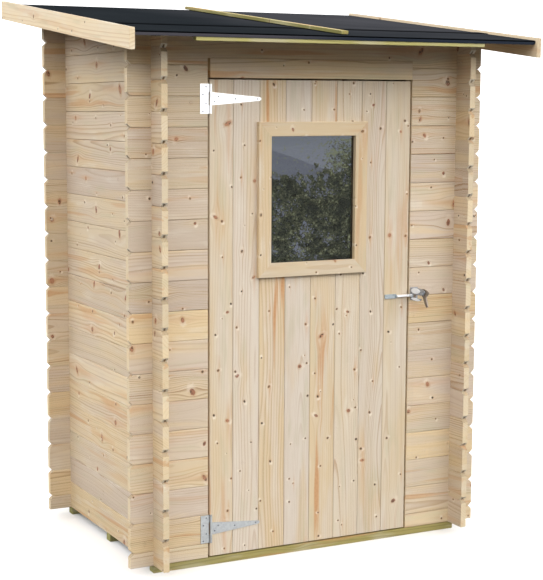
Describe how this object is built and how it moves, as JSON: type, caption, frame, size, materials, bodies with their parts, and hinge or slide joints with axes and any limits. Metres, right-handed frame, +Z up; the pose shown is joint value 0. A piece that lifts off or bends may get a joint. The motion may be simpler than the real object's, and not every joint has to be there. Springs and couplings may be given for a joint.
{
  "type": "garden tool shed",
  "caption": "Small wooden tool shed of interlocking notched wall boards, with a felted pent roof, a hinged boarded door with a window, and a drop-pawl latch",
  "frame": {"origin": "on the ground, on the underside of the middle bearer, under the middle of the four walls", "axes": "+Z up, +X to the right as the door is faced, +Y to the back, away from the door"},
  "size_m": [1.72, 1.399, 2.1738],
  "materials": {
    "wall_wood": "matte",
    "door_wood": "matte",
    "casing_wood": "matte",
    "fascia_wood": "matte",
    "roof_wood": "matte",
    "floor_wood": "matte",
    "treated_timber": "matte",
    "roofing_felt": "matte",
    "hinge_metal": "satin",
    "latch_metal": "satin",
    "window_glass": "gloss"
  },
  "bodies": {
    "shed": {"front_bearer": "treated_timber", "middle_bearer": "treated_timber", "back_bearer": "treated_timber", "floor_boards": "floor_wood", "front_wall_left": "wall_wood", "front_wall_right": "wall_wood", "front_wall_top": "wall_wood", "left_wall": "wall_wood", "right_wall": "wall_wood", "back_wall": "wall_wood", "door_header": "wall_wood", "door_jamb_left": "wall_wood", "door_jamb_right": "wall_wood", "roof_deck": "roof_wood", "felt_front_sheet": "roofing_felt", "felt_rear_sheet": "roofing_felt", "roof_batten": "treated_timber", "front_eave_batten": "treated_timber", "back_eave_batten": "treated_timber", "left_fascia": "fascia_wood", "right_fascia": "fascia_wood", "upper_hinge_plate": "hinge_metal", "lower_hinge_plate": "hinge_metal", "latch_body": "latch_metal"},
    "door": {"door_boards_hinge_side": "door_wood", "door_boards_latch_side": "door_wood", "door_boards_above_window": "door_wood", "door_boards_below_window": "door_wood", "door_ledge_top": "door_wood", "door_ledge_middle": "door_wood", "door_ledge_bottom": "door_wood", "window_casing_top": "casing_wood", "window_casing_bottom": "casing_wood", "window_casing_left": "casing_wood", "window_casing_right": "casing_wood", "window_inner_stiles": "casing_wood", "window_inner_rails": "casing_wood", "window_glass": "window_glass", "upper_hinge_strap": "hinge_metal", "lower_hinge_strap": "hinge_metal", "latch_striker": "latch_metal"},
    "pawl": {"latch_pawl": "latch_metal"}
  },
  "joints": [
    {"name": "door_hinge", "type": "hinge", "parent": "shed", "child": "door", "pos_m": [-0.438, -0.4605, 0.9], "axis": [0, 0, -1], "range_deg": [0, 145]},
    {"name": "pawl_pivot", "type": "hinge", "parent": "shed", "child": "pawl", "pos_m": [0.453, -0.54, 0.999], "axis": [1, 0, 0], "range_deg": [0, 30]}
  ]
}
